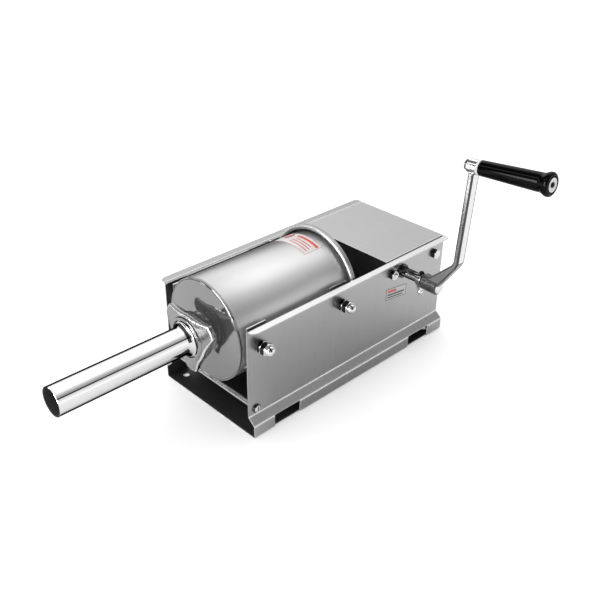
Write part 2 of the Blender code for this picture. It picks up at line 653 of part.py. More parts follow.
def crank():
    axis = empty("crank_removal", (CRANK_X, 0, CRANK_Z))
    bore = SHAFT_R + GAP
    collar_y = -114.9
    half = 3.9
    profile = [(collar_y - half, bore), (collar_y - half, 8.6), (collar_y - half + 1, 9.6),
               (collar_y + half - 1, 9.6), (collar_y + half, 8.6), (collar_y + half, bore)]
    collar = turned("crank_collar", profile, "Y", 24, CHROME, parent=axis, closed=True)
    bm = turned_bm(rod_profile(-14, -7, 2.8), "Z", 12, (0, collar_y, 0))
    turned_bm(rod_profile(7, 14, 2.8), "Z", 12, (0, collar_y, 0), bm)
    cut(collar, bm, "crank_collar_bore", axis)

    def upright(name, profile, mat, closed=False):
        return turned(name, profile, "Z", 12, mat, (0, collar_y, 0), axis, closed)

    dome = [(-20.0 - 4.4 * math.sin(a), 3.9 * math.cos(a)) for a in (0.0, 0.5, 1.0)]
    upright("lock_screw", [(-7.5, 0), (-7.5, 2.5), (-17.0, 2.5), (-17.6, 3.9)] + dome + [(-24.4, 0)], CHROME)
    hex_nut("lock_nut", 10, "Z", -14.6, -10.0, 2.8, (0, collar_y), 10, axis)
    upright("collar_set_screw", [(7.5, 0), (7.5, 2.5), (9.9, 2.5), (9.9, 3.6), (11.8, 3.3), (11.8, 0)], BLACK)

    # Arm: a boss on the shaft, a leg rising outwards, then a straight leg to the eye. Outline in (y, z).
    def local(y, z):
        return y, z - CRANK_Z

    outline = [local(-124.5, 137), local(-138, 148.8), local(-165.5, 175.2), local(-168.2, 181.5),
               local(-173.9, 309), local(-181.3, 309), local(-175.4, 178.5), local(-172.6, 171.8),
               local(-158, 150), local(-146.0, 133)]
    arm = add("crank_arm", prism_bm(outline, "X", -ARM_WIDTH / 2, ARM_WIDTH / 2), CAST, axis)
    bevel(arm, 1.3, 2, 30)
    boss = [(BOSS_IN, 0), (BOSS_IN, BOSS_R - 1), (BOSS_IN - 1, BOSS_R), (BOSS_OUT + 1.6, BOSS_R),
            (BOSS_OUT, BOSS_R - 2.4), (BOSS_OUT - 0.6, 0)]
    fuse(arm, turned_bm(boss, "Y", 24), "crank_boss", axis)
    cut(arm, turned_bm(rod_profile(BOSS_IN + 4, -138.0, bore), "Y", 24), "crank_bore", axis)

    eye = empty("grip_axis", (0, EYE_Y, EYE_Z - CRANK_Z), (-GRIP_TILT, 0, 0), axis)
    round_eye = [(7.5, 0), (7.5, 8.0), (6.5, 9.0), (-6.0, 9.0), (-7.0, 8.0), (-7.0, 0)]
    fuse(arm, turned_bm(round_eye, "Y", 20), "crank_eye", eye)
    cut(arm, turned_bm(rod_profile(12, -12, 4.3), "Y", 16), "crank_eye_bore", eye)

    # Grip, along -Y from the eye. The spindle's head holds it on and a nut behind the eye holds the spindle.
    start = -7.3
    end = start - 3.0 - GAP - GRIP_LENGTH
    turned("grip_spindle", rod_profile(11.5, end + 3.5, 4.0), "Y", 16, STEEL, parent=eye)
    hex_nut("spindle_nut", 13, "Y", 7.8, 11.4, 4.35, parent=eye)
    ferrule = tube_profile(start, start - 3.0, 4.3, 10.0)
    turned("grip_ferrule", ferrule, "Y", 24, WHITE, parent=eye, closed=True)
    grip_start = start - 3.0 - GAP
    profile = [(grip_start, 4.3), (grip_start, 9.2), (grip_start - 0.8, 9.9)]
    profile += [(grip_start - 84, 12.0), (grip_start - 88, 13.4), (grip_start - 91, 14.8)]
    profile += [(grip_start - 93.4, 14.9), (end + 0.9, 14.0), (end, 12.2), (end, 10.4)]
    profile += [(end + 2.6, 10.4), (end + 2.6, 4.3)]
    turned("grip", profile, "Y", 24, BLACK, parent=eye, closed=True)
    disc = [(end + 2.3, 0), (end + 2.3, 10.1), (end + 0.4, 10.1), (end - 0.2, 9.2), (end - 0.2, 4.6),
            (end + 0.5, 4.4), (end + 0.5, 3.4), (end - 0.6, 3.3), (end - 1.1, 2.6), (end - 1.1, 0)]
    cap = turned("grip_end_disc", disc, "Y", 24, WHITE, parent=eye)
    cut(cap, box_bm((-4, 4), (end - 3, end - 0.2), (-0.5, 0.5)), "end_disc_slot", eye)


chassis()
tie_rod()
saddles()
barrel()
gear_cover()
rear_panel()
gear_plates()
gear_bolts()
gear_train()
piston()
nozzle()
ring_nut()
crank()
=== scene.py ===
"""Looks for the horizontal sausage stuffer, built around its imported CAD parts.

Pieces are modelled in millimetres about their own axis, and place() puts them in metres where the CAD says.
A turned piece has its axis along its own Z.
"""

import json
import math

import bmesh
import bpy
from mathutils import Matrix, Vector

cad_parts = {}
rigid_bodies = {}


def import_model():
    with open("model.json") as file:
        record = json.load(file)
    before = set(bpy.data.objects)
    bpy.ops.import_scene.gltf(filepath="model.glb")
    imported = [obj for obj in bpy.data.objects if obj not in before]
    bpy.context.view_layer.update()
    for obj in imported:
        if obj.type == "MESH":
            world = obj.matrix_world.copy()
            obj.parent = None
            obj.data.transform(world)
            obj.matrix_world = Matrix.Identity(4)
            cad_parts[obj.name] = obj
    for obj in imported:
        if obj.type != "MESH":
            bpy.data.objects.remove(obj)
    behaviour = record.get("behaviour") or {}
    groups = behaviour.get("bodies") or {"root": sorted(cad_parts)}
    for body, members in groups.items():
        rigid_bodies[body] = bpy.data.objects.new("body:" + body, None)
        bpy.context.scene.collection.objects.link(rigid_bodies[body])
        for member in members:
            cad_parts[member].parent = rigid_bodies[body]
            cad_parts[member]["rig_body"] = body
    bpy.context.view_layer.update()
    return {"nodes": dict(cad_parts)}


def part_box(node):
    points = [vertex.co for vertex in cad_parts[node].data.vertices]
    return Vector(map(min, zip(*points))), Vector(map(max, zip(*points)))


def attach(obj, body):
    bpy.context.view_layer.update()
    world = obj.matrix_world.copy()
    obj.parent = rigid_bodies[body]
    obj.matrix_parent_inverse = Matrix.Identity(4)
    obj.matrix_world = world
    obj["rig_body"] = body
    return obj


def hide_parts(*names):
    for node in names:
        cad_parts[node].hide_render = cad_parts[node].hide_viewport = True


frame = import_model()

MM = 0.001
X, Y, Z = Vector((1, 0, 0)), Vector((0, 1, 0)), Vector((0, 0, 1))


def centre(node):
    low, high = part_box(node)
    return (low + high) / 2


def span(node, axis):
    """Lowest and highest coordinate of a CAD node along an axis 0, 1 or 2, in millimetres."""
    low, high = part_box(node)
    return low[axis] / MM, high[axis] / MM


# --- Node helpers and materials -------------------------------------------------------------------------

class Graph:
    """A shader tree with short ways to add and link nodes."""

    def __init__(self, tree):
        self.tree = tree

    def add(self, kind, inputs=None, **settings):
        node = self.tree.nodes.new("ShaderNode" + kind)
        for key, value in settings.items():
            setattr(node, key, value)
        for key, value in (inputs or {}).items():
            self.put(node.inputs[key], value)
        return node

    def put(self, socket, value):
        if isinstance(value, bpy.types.NodeSocket):
            self.tree.links.new(value, socket)
        else:
            socket.default_value = value

    def maths(self, operation, *values, clamp=False):
        node = self.add("Math", operation=operation, use_clamp=clamp)
        for socket, value in zip(node.inputs, values):
            self.put(socket, value)
        return node.outputs[0]

    def vector(self, operation, *values):
        node = self.add("VectorMath", operation=operation)
        for socket, value in zip(node.inputs, values):
            self.put(socket, value)
        return node.outputs["Value"] if operation in ("LENGTH", "DOT_PRODUCT") else node.outputs["Vector"]

    def fit(self, value, low, high, to_low, to_high, smooth=False):
        kind = "SMOOTHSTEP" if smooth else "LINEAR"
        node = self.add("MapRange", {"Value": value}, interpolation_type=kind)
        for key, number in zip(("From Min", "From Max", "To Min", "To Max"), (low, high, to_low, to_high)):
            self.put(node.inputs[key], number)
        return node.outputs[0]

    def noise(self, vector, scale, detail=3.0, rough=0.55):
        inputs = {"Vector": vector, "Scale": scale, "Detail": detail, "Roughness": rough}
        return self.add("TexNoise", inputs).outputs[0]

    def grey(self, value):
        """One value as all three parts of a colour."""
        return self.add("CombineColor", {0: value, 1: value, 2: value}).outputs[0]

    def blend(self, factor, first, second):
        node = self.add("Mix", data_type="RGBA")
        self.put(node.inputs[0], factor)
        for socket, colour in zip((node.inputs[6], node.inputs[7]), (first, second)):
            self.put(socket, (*colour, 1.0) if isinstance(colour, tuple) else colour)
        return node.outputs[2]


def shader(name):
    made = bpy.data.materials.new(name)
    made.use_nodes = True
    graph = Graph(made.node_tree)
    return made, graph, made.node_tree.nodes["Principled BSDF"]


def grain_vector(graph, grain):
    """Coordinates stretched so that noise read from them makes lines: across X for a sheet, or rings for a
    turned piece, whose own Z is its axis. Numbers are noise cells per metre."""
    at = graph.add("TexCoord").outputs["Object"]
    if grain == "sheet":
        return graph.vector("MULTIPLY", at, (1500, 26, 14))
    if grain == "lengthways":
        return graph.vector("MULTIPLY", at, (26, 1500, 900))
    if grain == "turned":
        flat = graph.vector("MULTIPLY", at, (1, 1, 0))
        parts = graph.add("SeparateXYZ", {0: at})
        rings = graph.add("CombineXYZ", {0: graph.vector("LENGTH", flat), 1: parts.outputs[2], 2: 0.0})
        return graph.vector("MULTIPLY", rings.outputs[0], (1800, 1500, 1))
    return graph.vector("MULTIPLY", at, (420, 420, 420))


NEARLY_BLACK = (0.004, 0.004, 0.004)


def metal(name, shade, rough, grain="sheet", lines=0.05, spread=0.05, relief=0.004, tint=(1, 1, 1), marks=0.5,
          solid=1.0, contour=None):
    """Bare metal. Its brush lines change the colour by lines and the roughness by spread, with relief in
    millimetres, and soft handling marks cloud it. contour (start, end, depth) paints it darker where it turns
    away: a painted reflection of the dark surroundings that a curved mirror shows at its edges."""
    made, graph, principled = shader(name)
    streaks = graph.noise(grain_vector(graph, grain), 1.0, 4.0, 0.65)
    at = graph.add("TexCoord").outputs["Object"]
    clouds = graph.noise(at, 17.0, 4.0, 0.6)
    smears = graph.noise(graph.vector("MULTIPLY", at, (60, 95, 40)), 1.0, 5.0, 0.7)
    dark = tuple(shade * t * (1 - 1.6 * lines) for t in tint)
    light = tuple(min(1.0, shade * t * (1 + 1.6 * lines)) for t in tint)
    mixed = graph.maths("ADD", graph.maths("MULTIPLY", streaks, 0.75), graph.maths("MULTIPLY", clouds, 0.25))
    colour = graph.blend(graph.fit(mixed, 0.3, 0.7, 0.0, 1.0), dark, light)
    # Painted reflection: the colour darkens towards the edges that turn away, for dark surroundings seen in a
    # curved mirror.
    if contour:
        turned_away = graph.add("LayerWeight", {"Blend": 0.5}).outputs["Facing"]
        start, end, depth = contour
        share = graph.fit(turned_away, start, end, 0.0, depth, smooth=True)
        colour = graph.blend(share, colour, NEARLY_BLACK)
        principled.inputs["Specular Tint"].default_value = (0.15, 0.15, 0.15, 1.0)
    graph.put(principled.inputs["Base Color"], colour)
    fine = graph.fit(streaks, 0.3, 0.7, rough - spread, rough + spread)
    worn = graph.fit(smears, 0.52, 0.75, 0.0, marks * 0.12, smooth=True)
    graph.put(principled.inputs["Roughness"], graph.maths("ADD", fine, worn, clamp=True))
    principled.inputs["Metallic"].default_value = solid
    bump = graph.add("Bump", {"Height": streaks, "Strength": 0.35, "Distance": relief * MM})
    graph.put(principled.inputs["Normal"], bump.outputs[0])
    return made


def plastic(name, shade, rough, relief=0.01, grain_scale=900, tint=(1, 1, 1), shine=0.5):
    """Plastic, rubber or paint, with a fine skin and soft clouds. shine is its specular level."""
    made, graph, principled = shader(name)
    at = graph.add("TexCoord").outputs["Object"]
    skin = graph.noise(at, grain_scale, 3.0, 0.6)
    clouds = graph.noise(at, 45.0, 5.0, 0.65)
    low = tuple(shade * t * 0.85 for t in tint)
    high = tuple(min(1.0, shade * t * 1.12) for t in tint)
    colour = graph.blend(graph.fit(clouds, 0.35, 0.65, 0.0, 1.0), low, high)
    graph.put(principled.inputs["Base Color"], colour)
    graph.put(principled.inputs["Roughness"], graph.fit(clouds, 0.4, 0.75, rough, rough + 0.09, smooth=True))
    bump = graph.add("Bump", {"Height": skin, "Strength": 0.3, "Distance": relief * MM})
    graph.put(principled.inputs["Normal"], bump.outputs[0])
    principled.inputs["Specular IOR Level"].default_value = shine
    return made


PANEL = metal("brushed_panel", 0.53, 0.30, "sheet", lines=0.035, spread=0.035, relief=0.0015)
# The flange comes in two painted copies of the panel's steel: the near one lighter, painted light, and the far
# one darker, painted shade.
FLANGE = metal("flange_painted_light", 0.76, 0.24, "sheet", lines=0.03, spread=0.04, relief=0.0015)
# Bends, cut edges and edge strips on the near side take this near-white steel: a painted highlight.
BEND = metal("bend_painted_highlight", 0.97, 0.26, "sheet", lines=0.01, spread=0.02, relief=0.001, solid=0.5)
FLANGE_FAR = metal("shaded_flange", 0.40, 0.28, "sheet", lines=0.03, spread=0.04, relief=0.0015)
COVER = metal("brushed_cover", 0.47, 0.30, "sheet", lines=0.03, spread=0.035, relief=0.0015)
# The inside of the chassis and the cover's front wall take this dark steel, a painted shade; the near panel's
# inner face and the saddles take the lighter painted shade below.
INSIDE = metal("inside_painted_shade", 0.050, 0.38, "sheet", lines=0.12, spread=0.05, solid=0.35)
INSIDE_NEAR = metal("inside_shaded", 0.18, 0.38, "sheet", lines=0.08, spread=0.05, solid=0.5)
# The barrel's contour is a painted darker reflection at its turned-away edges.
BARREL = metal("barrel_polished", 0.76, 0.34, "turned", lines=0.008, spread=0.02, relief=0.001, solid=0.72,
               contour=(0.45, 0.95, 0.55))
PLATE = metal("plate_polished", 0.36, 0.075, "turned", lines=0.03, spread=0.02, marks=0.3, solid=0.76)
RIM = metal("rolled_rim", 0.36, 0.20, "turned", lines=0.03, spread=0.04, solid=0.6)
BRIGHT = metal("bright_steel", 0.66, 0.16, "turned", lines=0.04, spread=0.04)
CHROME = metal("mirror_chrome", 0.86, 0.035, "turned", lines=0.01, spread=0.015, relief=0.0006, marks=0.25)
# The nozzle's contour paints its turned-away edges near black, a painted dark reflection.
NOZZLE = metal("nozzle_chrome", 0.88, 0.05, "turned", lines=0.01, spread=0.015, relief=0.0006, marks=0.2,
               contour=(0.48, 0.66, 1.0))
# The nozzle's inside is chrome painted dark, a painted shade.
BORE = metal("nozzle_inside_painted_shade", 0.10, 0.40, "turned", lines=0.1, solid=0.3)
# Near-black steel for the rim's groove and the ring nut's bore: a painted shade.
GROOVE = metal("groove_painted_shade", 0.012, 0.5, "turned", lines=0.1, solid=0.2)
CAST = metal("cast_chrome", 0.38, 0.24, "cast", lines=0.06, spread=0.06, relief=0.03)
# The ring nut's casting in painted copies: a darker underside copy that is painted shade, and a near-white edge
# copy that is a painted highlight.
CAST_SHADE = metal("cast_chrome_painted_shade", 0.22, 0.34, "cast", lines=0.08, spread=0.06, relief=0.03)
CAST_EDGE = metal("cast_chrome_edge_painted_highlight", 0.95, 0.24, "cast", lines=0.02, spread=0.03, relief=0.004,
                  solid=0.8)
# The crank arm's chrome in lighter and darker painted copies: the front-and-eye one and the side one are painted
# light, the low, edge and boss ones painted shade.
ARM = metal("arm_chrome", 0.42, 0.20, "cast", lines=0.05, spread=0.05, relief=0.02)
ARM_SIDE = metal("arm_chrome_side_painted_light", 0.60, 0.20, "cast", lines=0.06, spread=0.05, relief=0.02)
ARM_HIGHLIGHT = metal("arm_chrome_painted_highlight", 0.92, 0.20, "cast", lines=0.03, spread=0.05, relief=0.02)
ARM_LOW = metal("arm_chrome_low_painted_shade", 0.29, 0.20, "cast", lines=0.06, spread=0.05, relief=0.02)
ARM_EDGE = metal("arm_chrome_edge_painted_shade", 0.10, 0.22, "cast", lines=0.06, spread=0.05, relief=0.02)
BOSS = metal("cast_boss_painted_shade", 0.11, 0.26, "cast", lines=0.10, spread=0.08, relief=0.03, solid=0.5)
# Near-black chrome for the flats of nuts and heads and the screws' rims: a painted shade.
CHROME_SHADE = metal("chrome_flats_painted_shade", 0.06, 0.09, "turned", lines=0.02, spread=0.02, relief=0.0006)
THREAD = metal("dark_thread", 0.32, 0.22, "turned", lines=0.12, solid=0.7)
# The collar and the shaft are chrome painted dark, a painted dark reflection; the shaft's contour also darkens
# its turned-away edges as a painted reflection.
COLLAR = metal("collar_painted_shade", 0.34, 0.07, "turned", lines=0.04, spread=0.03)
SHAFT = metal("shaft_painted_shade", 0.30, 0.06, "turned", lines=0.04, spread=0.03, contour=(0.40, 0.62, 1.0))
BUSH = metal("dark_bush", 0.10, 0.20, "turned", lines=0.08, spread=0.05)
GEARS = metal("oiled_gear_steel", 0.34, 0.33, "turned", lines=0.10, spread=0.08, tint=(1.0, 0.98, 0.95))
RACK = metal("oiled_rack_steel", 0.36, 0.30, "lengthways", lines=0.10, spread=0.08, tint=(1.0, 0.98, 0.95))
BRONZE = metal("bearing_bronze", 0.62, 0.30, "turned", lines=0.08, tint=(1.0, 0.72, 0.36))
BLACK = plastic("gloss_black", 0.002, 0.07, relief=0.002, shine=0.12)
WHITE = plastic("white_nylon", 0.96, 0.34, tint=(1.0, 1.0, 0.98))
RUBBER = plastic("food_rubber", 0.62, 0.55, relief=0.03, tint=(1.0, 0.98, 0.92))
LABEL_FILM = plastic("label_film", 0.80, 0.30)
LABEL_CLEAR = metal("label_clear", 0.62, 0.36, "cast", lines=0.02, spread=0.02, solid=0.7, marks=0.2)
LABEL_RED = plastic("label_red", 0.78, 0.35, tint=(1.0, 0.13, 0.08))
LABEL_GREY = plastic("label_grey", 0.22, 0.35)
LABEL_INK = plastic("label_ink", 0.05, 0.35)


# --- Mesh helpers ----------------------------------------------------------------------------------------

def facing(axis):
    """The turn that takes an object's own Z to axis. Its own X points up if the axis is X, else along X."""
    along = Vector(axis).normalized()
    first = Z if abs(along.x) > 0.9 else X
    first = (first - along * first.dot(along)).normalized()
    return Matrix((first, along.cross(first), along)).transposed().to_4x4()


def place(name, bm, mats, at, axis=Z, smooth=32):
    """An object from bm, which is in millimetres, with its own Z along axis and its origin at at."""
    bmesh.ops.scale(bm, vec=(MM, MM, MM), verts=bm.verts)
    bmesh.ops.recalc_face_normals(bm, faces=bm.faces)
    mesh = bpy.data.meshes.new(name)
    bm.to_mesh(mesh)
    bm.free()
    mesh.shade_smooth()
    mesh.set_sharp_from_angle(angle=math.radians(smooth))
    for mat in mats if isinstance(mats, (list, tuple)) else [mats]:
        mesh.materials.append(mat)
    made = bpy.data.objects.new(name, mesh)
    bpy.context.scene.collection.objects.link(made)
    made.matrix_world = Matrix.Translation(at) @ facing(axis)
    return made


def stand_for(piece, node):
    """piece is shown in place of a CAD node, and moves with that node's body."""
    body = frame["nodes"][node]["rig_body"]
    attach(piece, body)
    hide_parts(node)
    return piece


def ring_value(value, angle):
    return value(angle) if callable(value) else value


def spin_bm(rings, segments=96, closed=False):
    """A surface through rings of (distance along Z, radius), either of which may be a function of the angle.
    A ring of radius 0 is a point. closed joins the last ring to the first, for a piece with a bore."""
    bm = bmesh.new()
    loops = []
    for along, radius in rings:
        if radius == 0:
            loops.append([bm.verts.new((0, 0, along))])
            continue
        loop = []
        for i in range(segments):
            angle = math.tau * i / segments
            r = ring_value(radius, angle)
            loop.append(bm.verts.new((r * math.cos(angle), r * math.sin(angle), ring_value(along, angle))))
        loops.append(loop)
    pairs = list(zip(loops, loops[1:]))
    if closed:
        pairs.append((loops[-1], loops[0]))
    for first, second in pairs:
        for i in range(segments):
            j = (i + 1) % segments
            corners = [first[i % len(first)], first[j % len(first)]]
            corners += [second[j % len(second)], second[i % len(second)]]
            kept = [v for k, v in enumerate(corners) if v not in corners[:k]]
            if len(kept) > 2:
                bm.faces.new(kept)
    return bm


def eased(points, radius, steps=3, closed=False):
    """A profile with its corners rounded, each by no more than its shorter side allows."""
    count = len(points)
    out = []
    for i, here in enumerate(points):
        if not closed and i in (0, count - 1):
            out.append(here)
            continue
        before, after = Vector(points[i - 1]), Vector(points[(i + 1) % count])
        corner = Vector(here)
        a, b = before - corner, after - corner
        if min(a.length, b.length) < 1e-6 or abs(a.normalized().dot(b.normalized())) > 0.995:
            out.append(here)
            continue
        reach = min(radius, 0.45 * a.length, 0.45 * b.length)
        start, end = corner + a.normalized() * reach, corner + b.normalized() * reach
        for k in range(steps + 1):
            t = k / steps
            out.append(tuple(start * (1 - t) ** 2 + corner * 2 * t * (1 - t) + end * t * t))
    return out


def settle(piece):
    """Moves a piece's placing into its mesh, so that its box is no larger than it is."""
    piece.data.transform(piece.matrix_world)
    piece.matrix_world = Matrix.Identity(4)
    return piece


def turned(name, node, profile, mats, axis, at, segments=96, closed=False, smooth=32):
    piece = place(name, spin_bm(profile, segments, closed), mats, at, axis, smooth)
    return stand_for(piece, node)


def arc(first, last, step):
    """Angles in radians from first to last, both in degrees and both included."""
    return [math.radians(a) for a in range(first, last + 1, step)]


def hexagon(across_flats):
    """The radius of a hexagon at an angle."""
    half = across_flats / 2
    return lambda angle: half / math.cos((angle + math.pi / 6) % (math.pi / 3) - math.pi / 6)


def hex_rings(across_flats, low, high, chamfer_low=True, chamfer_high=True, chamfer=0.58):
    """The sides of a hexagonal nut or head, with the corners turned off at 30 degrees."""
    outer = hexagon(across_flats)
    half = across_flats / 2
    round_r = half * 0.965
    rings = []
    if chamfer_low:
        rings += [(low, round_r), (lambda a: low + chamfer * (outer(a) - round_r), outer)]
    else:
        rings += [(low, outer)]
    if chamfer_high:
        rings += [(lambda a: high - chamfer * (outer(a) - round_r), outer), (high, round_r)]
    else:
        rings += [(high, outer)]
    return rings


def refined(node, mats, edge=0.25, merge=1e-5, smooth=38, pick=None, borders=()):
    """A CAD node's own shape with its edges eased. pick says which of mats each face takes, by its place in the
    list. Each of borders is (which faces, how wide, place in mats): a strip along those faces' outer edge that
    takes another material."""
    source = frame["nodes"][node]
    bm = bmesh.new()
    bm.from_mesh(source.data)
    bmesh.ops.remove_doubles(bm, verts=bm.verts, dist=merge)
    bmesh.ops.dissolve_limit(bm, angle_limit=math.radians(0.8), verts=bm.verts, edges=bm.edges)
    bmesh.ops.scale(bm, vec=(1 / MM, 1 / MM, 1 / MM), verts=bm.verts)
    for face in bm.faces:
        face.material_index = pick(face) if pick else 0
    for wanted, wide, index in borders:
        inside = [face for face in bm.faces if wanted(face)]
        for face in bmesh.ops.inset_region(bm, faces=inside, thickness=wide, use_even_offset=True)["faces"]:
            face.material_index = index
    piece = place(node + "_piece", bm, mats, (0, 0, 0), smooth=smooth)
    if edge:
        step = piece.modifiers.new("eased_edges", "BEVEL")
        step.width = edge * MM
        step.segments = 2
        step.limit_method = "ANGLE"
        step.angle_limit = math.radians(40)
        step.harden_normals = True
    flat = piece.modifiers.new("flat_faces", "WEIGHTED_NORMAL")
    flat.keep_sharp = True
    flat.weight = 100
    return stand_for(piece, node)


# --- Camera, floor and light ------------------------------------------------------------------------------

CAMERA_AT = (-0.7106, -0.7012, 0.6833)
CAMERA_TURN = (1.0323, -0.0119, -0.7687)
CAMERA_LENS = 49.06
CAMERA_SENSOR = 36.0
FLOOR_HALF = 12000
FLOOR_DROP = 0.0004
FLOOR_GLOW = 0.34


def camera():
    data = bpy.data.cameras.new("camera")
    data.lens = CAMERA_LENS
    data.sensor_width = CAMERA_SENSOR
    made = bpy.data.objects.new("camera", data)
    made.location = CAMERA_AT
    made.rotation_euler = CAMERA_TURN
    bpy.context.scene.collection.objects.link(made)
    bpy.context.scene.camera = made


def floor():
    """A pale floor. Shiny things see it darker behind the object and beside it, as a table among dark things
    would be."""
    bm = bmesh.new()
    bmesh.ops.create_grid(bm, x_segments=8, y_segments=8, size=FLOOR_HALF)
    made, graph, principled = shader("pale_floor")
    at = graph.add("TexCoord").outputs["Object"]
    parts = graph.add("SeparateXYZ", {0: at})
    x, y = parts.outputs[0], parts.outputs[1]
    pale = graph.grey(graph.fit(graph.noise(at, 3.0), 0.3, 0.7, 0.93, 0.95))

    def ramp(value, start, end, low, high):
        return graph.fit(value, start, end, low, high, smooth=True)

    behind = graph.maths("MULTIPLY", ramp(x, -0.30, -0.18, 0.0, 1.0), ramp(y, -0.05, 0.22, 0.0, 0.40))
    beside = graph.maths("MULTIPLY", ramp(x, -0.20, -0.08, 0.0, 1.0), ramp(x, 0.02, 0.34, 1.0, 0.0))
    beside = graph.maths("MULTIPLY", beside, ramp(y, -0.34, -0.20, 0.0, 0.32))
    share = graph.maths("SUBTRACT", graph.maths("SUBTRACT", 0.97, behind), beside, clamp=True)
    shiny = graph.add("LightPath").outputs["Is Glossy Ray"]
    graph.put(principled.inputs["Base Color"], graph.blend(shiny, pale, graph.grey(share)))
    principled.inputs["Roughness"].default_value = 0.9
    principled.inputs["Specular IOR Level"].default_value = 0.0
    principled.inputs["Emission Color"].default_value = (1.0, 1.0, 1.0, 1.0)
    glow = graph.maths("MULTIPLY", graph.add("LightPath").outputs["Is Camera Ray"], FLOOR_GLOW)
    graph.put(principled.inputs["Emission Strength"], glow)
    place("pale_floor", bm, made, (0, 0, -FLOOR_DROP))


# How bright the studio is at each angle round the object's long axis, from the horizon in front, over the
# top, to the horizon behind: a low front card, a dark gap, one large soft box overhead and a dimmer one behind.
STUDIO = (
    (0, 1.0), (16, 0.85), (31, 0.62), (33, 0.015), (40, 0.015), (42, 0.30), (54, 0.42), (70, 0.80),
    (86, 1.55), (102, 1.55), (120, 1.25), (145, 1.15), (170, 1.0), (173, 0.02), (180, 0.02),
)

# How that changes with the direction's X, for reflections: a bright card at the nozzle's end, then dark but for
# one narrow strip, and full from about 0.3 on.
STUDIO_ALONG = (
    (-1.0, 9.0), (-0.855, 9.0), (-0.835, 0.10), (-0.57, 0.10), (-0.54, 2.2), (-0.47, 2.2), (-0.44, 0.06),
    (0.18, 0.06), (0.28, 0.9), (0.33, 1.15), (0.46, 1.15), (0.52, 1.12), (0.58, 1.12), (0.74, 0.80),
    (1.0, 0.75),
)
STUDIO_EVEN = 0.95                      # the same for all other rays


def set_stops(stops, wanted):
    """Gives a colour ramp its stops, as (position, grey) in order. A ramp starts with two."""
    for index, (position, value) in enumerate(wanted):
        stop = stops[index] if index < 2 else stops.new(position)
        stop.position = position
        stop.color = (value, value, value, 1.0)


def light():
    """The studio's brightness from the two lists above, and plain white behind the object."""
    world = bpy.data.worlds.new("studio")
    bpy.context.scene.world = world
    world.use_nodes = True
    graph = Graph(world.node_tree)
    background = world.node_tree.nodes["Background"]
    parts = graph.add("SeparateXYZ", {0: graph.add("TexCoord").outputs["Generated"]})
    towards = graph.maths("MULTIPLY", parts.outputs[1], -1.0)
    angle = graph.maths("ARCTAN2", parts.outputs[2], towards)
    ramp = graph.add("ValToRGB", {0: graph.maths("DIVIDE", angle, math.pi)})
    brightest = max(value for _, value in STUDIO)
    set_stops(ramp.color_ramp.elements, [(degrees / 180, value / brightest) for degrees, value in STUDIO])
    ends = graph.add("ValToRGB", {0: graph.maths("MULTIPLY_ADD", parts.outputs[0], 0.5, 0.5)})
    most = max(value for _, value in STUDIO_ALONG)
    set_stops(ends.color_ramp.elements, [((x + 1) / 2, value / most) for x, value in STUDIO_ALONG])
    glossy = graph.add("LightPath").outputs["Is Glossy Ray"]
    even = graph.maths("MULTIPLY_ADD", graph.maths("SUBTRACT", 1.0, glossy), STUDIO_EVEN,
                       graph.maths("MULTIPLY", graph.maths("MULTIPLY", ends.outputs[0], most), glossy))
    strength = graph.maths("MULTIPLY", even, brightest)
    strengths = graph.add("CombineXYZ", {0: strength, 1: strength, 2: strength}).outputs[0]
    around = graph.vector("MULTIPLY", ramp.outputs[0], strengths)
    seen = graph.add("LightPath").outputs["Is Camera Ray"]
    graph.put(background.inputs[0], graph.blend(seen, around, (1.0, 1.0, 1.0)))
    bpy.context.scene.view_settings.view_transform = "Standard"


# --- Pieces ------------------------------------------------------------------------------------------------

def shifted(profile, middle):
    """A profile given along the object's axis, moved to a piece's own middle."""
    return [(along - middle, radius) for along, radius in profile]


def outer_radius(node):
    low, high = span(node, 2)
    return (high - low) / 2


def reach_of(polygon):
    """How far a polygon of a turned piece is from its axis, in millimetres."""
    return math.hypot(polygon.center.x, polygon.center.y) / MM


def barrel_tube():
    at = centre("barrel_tube")
    low, high = span("barrel_tube", 0)
    radius, wall = outer_radius("barrel_tube"), 1.2
    tube = [(low, radius - wall), (low, radius), (high, radius), (high, radius - wall)]
    profile = eased(shifted(tube, at.x / MM), 0.3, 2, True)
    turned("barrel_tube_piece", "barrel_tube", profile, BARREL, X, at, 160, True)


def barrel_front():
    """The front plate, with a shallow groove inside its edge, and the threaded neck."""
    low, high = span("barrel_front", 0)
    at = centre("barrel_front")
    radius = outer_radius("barrel_tube")
    face, bore, neck = -190.8, 19.0, 27.0
    pitch, thread = 2.4, 1.1
    plate = [(high, bore), (high, radius - 0.5), (face + 2.2, radius - 0.5), (face + 1.8, radius)]
    plate += [(face + 0.9, radius), (face + 0.3, radius - 0.2), (face, radius - 0.7)]
    plate += [(face + 0.1, radius - 1.4), (face + 0.7, radius - 1.9), (face + 0.1, radius - 2.5)]
    plate += [(face, radius - 2.9), (face, neck + 3.0), (face - 1.2, neck + 0.4), (face - 1.8, neck - 0.9)]
    start = face - 2.6
    while start > low + 2.5:
        plate += [(start, neck - thread), (start - pitch * 0.35, neck), (start - pitch * 0.6, neck)]
        plate += [(start - pitch, neck - thread)]
        start -= pitch
    plate += [(low + 1.0, neck - 1.2), (low, neck - 2.0), (low, bore)]
    profile, mats, steel = shifted(plate, at.x / MM), [PLATE, THREAD], "polished_stainless"
    piece = turned("barrel_front_piece", "barrel_front", profile, mats, X, at, 144, True, 25)
    for polygon in piece.data.polygons:
        if reach_of(polygon) < neck + 1.2:
            polygon.material_index = 1


